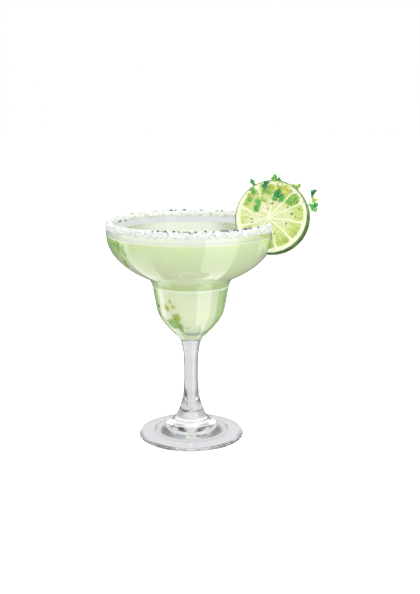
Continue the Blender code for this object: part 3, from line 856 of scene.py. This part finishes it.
leafShape = {
    "rings": 5,
    "columns": 40,
    "thickness": 0.24,
    "wave": 0.1,
    "narrower": 0.85,  # one way than the other
    "fullSize": 0.8,  # smaller leaves are thinner
    "lobes": ((2, 0.12), (3, 0.16), (5, 0.09), (7, 0.10), (11, 0.08)),
    "intoWall": 0.42,  # sunk leaves lie this far into the glass, clear of the drink
    "scraps": 4,  # small torn scraps round each leaf
    "scrapSize": (0.14, 0.4),
}
crumbPlan = {
    "count": 150,
    "size": (0.22, 0.6),
    "headingDeg": (86, 32),  # on the face, as middle and spread
    "inwards": (0.06, 0.2),  # from the rind, as a share of the radius
    "tone": (0.74, 0.2),
    "specks": 34,
    "speckReach": 20.0,
    "speckSize": (0.44, 0.84),
}


def leafGrid(sizes, chance):
    # ragged discs: reach = size (1 + a sum of lobes cos(k a + phase)), bent by a wave, with two faces a
    # thickness apart
    shape = leafShape
    count = len(sizes)
    share = np.linspace(0, 1, shape["rings"] + 1)[1:]
    rows = np.concatenate([share, share[::-1]])[None, :, None]
    side = np.concatenate([np.ones(shape["rings"]), -np.ones(shape["rings"])])[None, :, None]
    angle = fullTurn(shape["columns"])[None, None, :]
    lobes = 1 + sum(
        depth * np.cos(k * angle + chance.uniform(0, tau, (count, 1, 1))) for k, depth in shape["lobes"]
    )
    reach = sizes[:, None, None] * lobes * rows
    phase = chance.uniform(0, tau, (count, 1, 1))
    wave = np.cos(2 * angle + phase) + 0.5 * np.cos(5 * angle - phase)
    bend = shape["wave"] * sizes[:, None, None] * rows**2 * wave
    thin = shape["thickness"] * np.minimum(1, sizes / shape["fullSize"])[:, None, None]
    flat = bend + side * thin / 2 * (1 - 0.6 * rows**3)
    places = np.stack([reach * np.cos(angle), shape["narrower"] * reach * np.sin(angle), flat], axis=-1)
    tips = np.zeros((count, 2, 3))
    tips[:, 0, 2], tips[:, 1, 2] = thin[:, 0, 0] / 2, -thin[:, 0, 0] / 2
    return np.concatenate([places.reshape(count, -1, 3), tips], axis=1)


def layLeaves(name, centres, turns, sizes, tones, chance, finish, node):
    # all the leaves of a place as one mesh, each with its own tone, darker at its middle
    grid = leafGrid(sizes, chance)
    points = np.einsum("nij,nkj->nki", turns, grid) + centres[:, None, :]
    one = ringFaces(2 * leafShape["rings"], leafShape["columns"])
    shift = grid.shape[1] * np.arange(len(sizes))[:, None, None]
    faces = np.where(one[None] >= 0, one[None] + shift, -1).reshape(-1, 4)
    piece = layMesh(name, points.reshape(-1, 3) * mm, faces, finish)
    middle = 0.08 - 0.16 * (1 - np.hypot(grid[:, :, 0], grid[:, :, 1]) / sizes[:, None])
    tone = np.repeat(tones, grid.shape[1]) + middle.ravel()
    paintPoints(piece, "leafTone", tone[:, None] * np.ones(3))
    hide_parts(node)
    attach(piece, "root")


def spinEach(frames, angles):
    # each frame turned about its own third axis
    spin = np.zeros((len(angles), 3, 3))
    spin[:, :, 0], spin[:, :, 1] = roundAxis(1, angles, 0), roundAxis(1, angles + math.pi / 2, 0)
    spin[:, 2, 2] = 1
    return frames @ spin


def faceFrames(chance, count, tip):
    # frames that lie on the wheel's face, each tipped a little and turned at random
    turn, _ = wheelPlace()
    tilt = np.array([Euler((x, y, 0)).to_matrix() for x, y in chance.uniform(-tip, tip, (count, 2))])
    return spinEach(turn @ tilt, chance.uniform(0, tau, count))


def withScraps(plan, chance):
    # each leaf of (across, up, size, tone), and a few small scraps scattered at its edge
    shape = leafShape
    scraps = np.repeat(plan, shape["scraps"], axis=0)
    angle = chance.uniform(0, tau, len(scraps))
    away = scraps[:, 2] * chance.uniform(0.7, 1.5, len(scraps))
    scraps[:, :2] += roundAxis(away, angle, 0)[:, :2]
    scraps[:, 2] *= chance.uniform(*shape["scrapSize"], len(scraps))
    scraps[:, 3] = np.clip(scraps[:, 3] + chance.normal(0.06, 0.12, len(scraps)), 0, 1)
    return np.vstack([plan, scraps])


def makeWheelLeaves(finish):
    chance = np.random.default_rng(3)
    scattered = withScraps(np.array(leafPlan), chance)
    scattered = scattered[np.hypot(scattered[:, 0], scattered[:, 1]) < wheelShape["radius"]]
    top = wheelShape["thickness"] / 2
    # each with its least and most height over the face, and its tilt in radians
    for name, plan, low, high, tip in (
        ("herbLeavesOnLime", scattered, 0.2, 0.5, 0.16),
        ("herbLeavesOnRind", np.array(rindLeafPlan), -1.8, -1.0, 0.3),
    ):
        lift = top + chance.uniform(low, high, len(plan))
        centres = onWheel(np.column_stack([plan[:, :2], lift]))
        frames = faceFrames(chance, len(plan), tip)
        layLeaves(name, centres, frames, plan[:, 2], plan[:, 3], chance, finish, "lime_wheel")


def makeWheelCrumbs(finish, darkFinish):
    # crumbs of leaf and zest, thickest along the top of the face, and a few dark peppery specks
    crumbs, top = crumbPlan, wheelShape["thickness"] / 2
    count, reach = crumbs["count"], crumbs["speckReach"]
    chance = np.random.default_rng(14)
    angle = np.radians(chance.normal(*crumbs["headingDeg"], count))
    radius = wheelShape["radius"] * np.clip(1 - np.abs(chance.normal(*crumbs["inwards"], count)), 0.25, 0.95)
    sizes = chance.uniform(*crumbs["size"], count)
    tones = np.clip(chance.normal(*crumbs["tone"], count), 0.15, 1.0)
    centres = onWheel(roundAxis(radius, angle, top + 0.02))
    frames = faceFrames(chance, count, 0.3)
    layLeaves("herbCrumbs", centres, frames, sizes, tones, chance, finish, "lime_wheel")
    spots = chance.uniform(-1, 1, (crumbs["specks"], 2)) * reach
    spots = spots[np.hypot(spots[:, 0], spots[:, 1]) < reach + 0.5]
    specks = onWheel(np.insert(spots, 2, top - 0.1, axis=1))
    sizes = chance.uniform(*crumbs["speckSize"], len(specks))
    dark = scatterCubes("pepperSpecks", specks, sizes, chance, darkFinish)
    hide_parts("lime_wheel")
    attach(dark, "root")


# leaves in the drink, against the glass: (degrees round the axis, height, size, tone)
sunkLeafPlan = (
    (207.0, 140.6, 1.3, 0.5), (213.5, 139.9, 2.7, 0.56), (217.0, 138.6, 2.8, 0.54),
    (218.9, 135.9, 1.3, 0.48), (212.5, 129.8, 2.0, 0.62), (211.0, 127.4, 1.6, 0.65),
    (234.0, 100.6, 1.2, 0.92), (224.0, 96.4, 1.7, 0.84), (227.0, 94.6, 1.3, 0.88), (239.4, 97.1, 1.4, 0.98),
    (203.0, 95.6, 1.0, 0.1), (243.6, 89.8, 2.8, 0.7), (237.0, 85.9, 3.1, 0.66), (226.0, 85.6, 2.9, 0.56),
    (230.0, 82.9, 3.0, 0.54), (246.0, 82.9, 2.5, 0.62), (245.5, 80.2, 1.3, 0.6), (262.8, 82.3, 0.8, 0.76),
    (201.0, 90.0, 0.9, 0.42),
)


def makeSunkLeaves(finish):
    # each leaf lies along the inner wall and a little into the glass: its third axis is the wall's normal
    chance = np.random.default_rng(9)
    plan = np.array(sunkLeafPlan)
    wall = bowlInside()
    wall = wall[wall[:, 1] > glassShape["well"] + 1]
    radius = np.interp(plan[:, 1], wall[:, 1], wall[:, 0])
    lean = np.interp(plan[:, 1], wall[:, 1], np.gradient(wall[:, 0], wall[:, 1]))
    angle = np.radians(plan[:, 0])
    outward = roundAxis(1, angle, -lean)
    outward /= np.linalg.norm(outward, axis=1)[:, None]
    around = roundAxis(1, angle + math.pi / 2, 0)
    frames = np.stack([around, np.cross(outward, around), outward], axis=2)
    frames = spinEach(frames, chance.uniform(0, tau, len(plan)))
    centres = roundAxis(radius, angle, plan[:, 1]) + leafShape["intoWall"] * outward
    layLeaves("herbLeavesInDrink", centres, frames, plan[:, 2], plan[:, 3], chance, finish, "drink")


leafLook = {
    "byTone": [(0.0, "#0A6238"), (0.2, "#1F8A3C"), (0.42, "#5AA946"), (0.62, "#93C055"), (0.82, "#BAC44C"),
               (1.0, "#D6D768")],
    "mottleSize": 1.3,
    "reliefDepth": 0.3,
    "roughness": 0.5,
    "ior": 1.42,
    "glow": 0.15,
    "reach": (0.0005, 0.001, 0.0003),
}


def tornHerbLeaf():
    # fresh torn coriander and mint with grated zest: a little waxy, mottled, and aglow where light goes in
    look = leafLook
    material, tree = newMaterial("tornHerbLeaf")
    tone = addNode(tree, "Attribute", {"attribute_name": "leafTone"}).outputs["Fac"]
    place = addNode(tree, "TexCoord").outputs["Object"]
    patches, mottled = addMottled(tree, place, look["mottleSize"], tone)
    colour = addNode(tree, "ValToRGB", inputs={"Fac": mottled})
    setRamp(colour, look["byTone"])
    finishSoft(tree, look, {"Base Color": colour}, patches, 0.4)
    return material


leafFinish = tornHerbLeaf()
makeWheelLeaves(leafFinish)
makeWheelCrumbs(leafFinish, coarseSeaSalt("darkPepperSpeck", "#4A5A34", "#3A4428", 0.0))
makeSunkLeaves(leafFinish)
print("herb leaves made")


stageLook = {
    "floorSize": 8.0,  # metres
    "floor": "#FBFBFB",
    "floorGlow": 0.5,
    "backdrop": "#FFFFFF",
}


def makeFloor():
    # a big plain sheet; glass looks past it into the room, so that its greys come from the room alone
    look, half = stageLook, stageLook["floorSize"] / 2
    points = np.array([(x, y, 0) for x in (-half, half) for y in (-half, half)])
    colour = linearColour(look["floor"])
    material, tree = newMaterial("paleMattFloor")
    bulk = addNode(tree, "BsdfPrincipled", inputs={
        "Base Color": colour,
        "Roughness": 0.9,
        "Specular IOR Level": 0.0,
        "Emission Color": colour,
        "Emission Strength": look["floorGlow"],
    })
    finishMaterial(tree, bulk)
    floor = layMesh("floor", points, np.array([[0, 2, 3, 1]]), material)
    floor.visible_transmission = floor.visible_glossy = floor.visible_diffuse = False


# colour stops of the light room, by where each ray goes or by how the wall that mirrors it stands
roomLook = {
    # what shows through glass: place is the heading, 0 back to the front, 0.25 left, 0.5 behind, 0.75 right
    "through": [(0.0, "#C4C4C4"), (0.12, "#A8A8A8"), (0.2, "#66696A"), (0.33, "#707273"),
                (0.385, "#B6B8BA"), (0.43, "#DCDDE0"), (0.5, "#E0E1E4"), (0.62, "#DCDDE0"),
                (0.665, "#515A46"), (0.78, "#3F4736"), (0.88, "#A8A8A8"), (1.0, "#C4C4C4")],
    # the same for rays that leave the glass upwards, and for those that leave it steeply downwards
    "high": [(0.0, 0.44, "#5A5C5E"), (0.475, 0.525, "#DCDDDF"), (0.56, 1.0, "#3E4636")],
    "low": [(0.0, 0.27, "#D4D6D8"), (0.33, 0.4, "#8E9092"), (0.46, 0.54, "#D4D6D8"), (0.6, 0.7, "#363D2E"),
            (0.8, 1.0, "#D4D6D8")],
    # what glass and wet things mirror: place is half of 1 + the height of the ray
    "mirrored": [(0.0, "#7A7A7A"), (0.455, "#5A5A5A"), (0.485, "#E0E0E0"), (0.6, "#EAEAEA"),
                 (1.0, "#F4F4F4")],
    # soft light for matt things, from the left to the right
    "room": [(0.0, "#F6F6F6"), (1.0, "#FFFFFF")],
    # upright light bands: place is the wall's own heading, -90 to 90 degrees as 0 to 1
    "bands": [(0.172, "#000000"), (0.192, 0.235, "#DCDCDC"), (0.25, 0.55, "#000000"),
              (0.558, 0.68, "#D2D2D2"), (0.692, 0.795, "#000000"), (0.802, 0.822, "#9A9A9A"),
              (0.83, "#000000")],
    # the same for walls that lean out over the stem, and for walls that lean back, as over a foot
    "leaning": [(0.2, "#000000"), (0.22, "#AEAEAE"), (0.33, "#9C9C9C"), (0.35, 0.54, "#000000"),
                (0.55, 0.67, "#C6C6C6"), (0.682, "#000000")],
    "rising": [(0.55, "#000000"), (0.558, 0.68, "#D2D2D2"), (0.692, "#000000")],
    # a ring of light on slopes: place is the sine of the slope's facing
    "ring": [(0.46, "#000000"), (0.52, 0.66, "#FFFFFF"), (0.71, "#000000")],
    "bandStrength": 3.6,
    "ringStrength": 6.0,
    "fromFront": (0.0, 0.976, -0.216),  # the way that the front view looks
}


def makeRoomLight():
    # white to the eye, a soft even fill for matt things, and for glass dark sides and light bands
    look = roomLook
    world = bpy.data.worlds.new("studioRoom")
    bpy.context.scene.world = world
    world.use_nodes = True
    tree = world.node_tree
    tree.nodes.clear()
    ray = addNode(tree, "TexCoord").outputs["Generated"]
    full = addNode(tree, "SeparateXYZ", inputs={0: ray}).outputs
    around = addNode(tree, "Math", {"operation": "ARCTAN2"}, {0: full["X"], 1: full["Y"]})
    # a wall mirrors this ray when it faces halfway between the ray and the front
    half = addNode(tree, "VectorMath", {"operation": "SUBTRACT"}, {0: ray, 1: look["fromFront"]})
    wall = addNode(tree, "VectorMath", {"operation": "NORMALIZE"}, {0: half})
    facing = addNode(tree, "SeparateXYZ", inputs={0: wall}).outputs
    toFront = addNode(tree, "Math", {"operation": "MULTIPLY"}, {0: facing["Y"], 1: -1.0})
    turned = addNode(tree, "Math", {"operation": "ARCTAN2"}, {0: facing["X"], 1: toFront})
    shown, share = {}, {}
    for name, value, most in (
        ("bands", turned, math.pi / 2), ("leaning", turned, math.pi / 2), ("rising", turned, math.pi / 2),
        ("through", around, math.pi), ("low", around, math.pi), ("high", around, math.pi),
        ("room", full["X"], 1.0), ("mirrored", full["Z"], 1.0), ("ring", facing["Z"], 1.0),
    ):
        least = 0.0 if name == "ring" else -most
        place = addNode(tree, "MapRange", inputs={"Value": value, "From Min": least, "From Max": most})
        shown[name] = addNode(tree, "ValToRGB", inputs={"Fac": place})
        setRamp(shown[name], look[name])
    for name, value, start, end in (
        ("leaning", facing["Z"], -0.1, -0.5),
        ("rising", facing["Z"], 0.0, 0.05),
        ("low", full["Z"], -0.4, -0.52),
        ("high", full["Z"], 0.3, 0.5),
    ):
        share[name] = addNode(tree, "MapRange", softEdge, {
            "Value": value, "From Min": start, "From Max": end,
        })
    path = addNode(tree, "LightPath").outputs
    for under, over, factor in (
        ("bands", "leaning", share["leaning"]), ("bands", "rising", share["rising"]),
        ("through", "low", share["low"]), ("through", "high", share["high"]),
        ("room", "mirrored", path["Is Glossy Ray"]), ("room", "through", path["Is Transmission Ray"]),
    ):
        shown[under] = addNode(tree, "Mix", inColour, {
            "Factor": factor, "A": shown[under], "B": shown[over],
        })
    seen = addNode(tree, "Mix", inColour, {
        "Factor": path["Is Camera Ray"], "A": shown["room"], "B": linearColour(stageLook["backdrop"]),
    })
    # a clear ray that went through glass counts as glossy too, so those are taken off
    mirrored = addNode(tree, "Math", {"operation": "SUBTRACT", "use_clamp": True}, {
        0: path["Is Glossy Ray"], 1: path["Is Transmission Ray"],
    })
    lying = addNode(tree, "Math", {"operation": "ABSOLUTE"}, {0: facing["Z"]})
    standing = addNode(tree, "MapRange", inputs={"Value": lying, "From Min": 0.92, "From Max": 0.8})
    onWalls = addNode(tree, "Math", {"operation": "MULTIPLY"}, {0: standing, 1: mirrored})
    every = addNode(tree, "Background", inputs={"Color": seen, "Strength": 1.0})
    for light, amount, strength in (
        ("bands", onWalls, look["bandStrength"]), ("ring", mirrored, look["ringStrength"]),
    ):
        glow = addNode(tree, "Math", {"operation": "MULTIPLY"}, {0: amount, 1: strength})
        lamp = addNode(tree, "Background", inputs={"Color": shown[light], "Strength": glow})
        every = addNode(tree, "AddShader", inputs={0: every, 1: lamp})
    addNode(tree, "OutputWorld", inputs={"Surface": every})


# broad soft panels that light everything: name, lean from overhead, heading and spread in degrees, strength
softPanels = (
    ("ceilingPanel", 10, 40, 80, 0.4),
    ("frontPanel", 62, 3, 60, 0.6),
)


def makeLamps():
    for name, lean, heading, spread, strength in softPanels:
        lamp = bpy.data.lights.new(name, "SUN")
        lamp.angle = math.radians(spread)
        lamp.energy = strength
        panel = bpy.data.objects.new(name, lamp)
        panel.rotation_euler = (math.radians(lean), 0, math.radians(heading))
        panel.visible_glossy = False
        bpy.context.scene.collection.objects.link(panel)


# back and height in metres
cameraPlace = {"back": 0.64134, "height": 0.24134, "pitchDeg": 12.49, "yawDeg": 1.187, "lens": 57.64}


def makeCamera():
    place = cameraPlace
    lens = bpy.data.cameras.new("camera")
    lens.sensor_width = 36.0  # lies along the picture's long side
    lens.lens = place["lens"]
    lens.clip_start = 0.01
    camera = bpy.data.objects.new("camera", lens)
    camera.location = (0.0, -place["back"], place["height"])
    camera.rotation_euler = (math.radians(90 - place["pitchDeg"]), 0.0, math.radians(-place["yawDeg"]))
    bpy.context.scene.collection.objects.link(camera)
    bpy.context.scene.camera = camera


makeFloor()
makeRoomLight()
makeLamps()
makeCamera()
scene = bpy.context.scene
scene.view_settings.view_transform = "Standard"
scene.cycles.max_bounces = 32
scene.cycles.transmission_bounces = 32
scene.cycles.glossy_bounces = 16
print("stage made")
